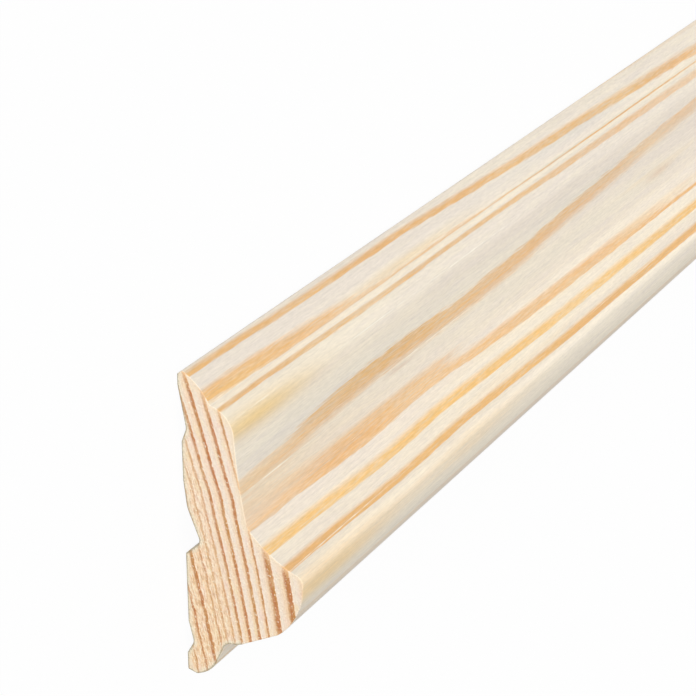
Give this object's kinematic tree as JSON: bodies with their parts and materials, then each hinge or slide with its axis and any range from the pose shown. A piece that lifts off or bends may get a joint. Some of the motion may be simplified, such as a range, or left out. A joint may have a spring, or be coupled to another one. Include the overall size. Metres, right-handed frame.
{
  "type": "profile moulding",
  "caption": "Planed pine strip of moulded section with a thin upper lip, a long hollow face, a projecting nose and a grooved flat back, used as trim.",
  "frame": {"origin": "middle of the back, on the surface that the strip lies on", "axes": "+X along the strip, +Y across it towards the thin upper lip, +Z off the back towards the moulded front"},
  "size_m": [2.4, 0.042, 0.017],
  "materials": {
    "pine": "planed, untreated, with a sawn end"
  },
  "bodies": {
    "root": {"moulding": "pine"}
  },
  "joints": []
}
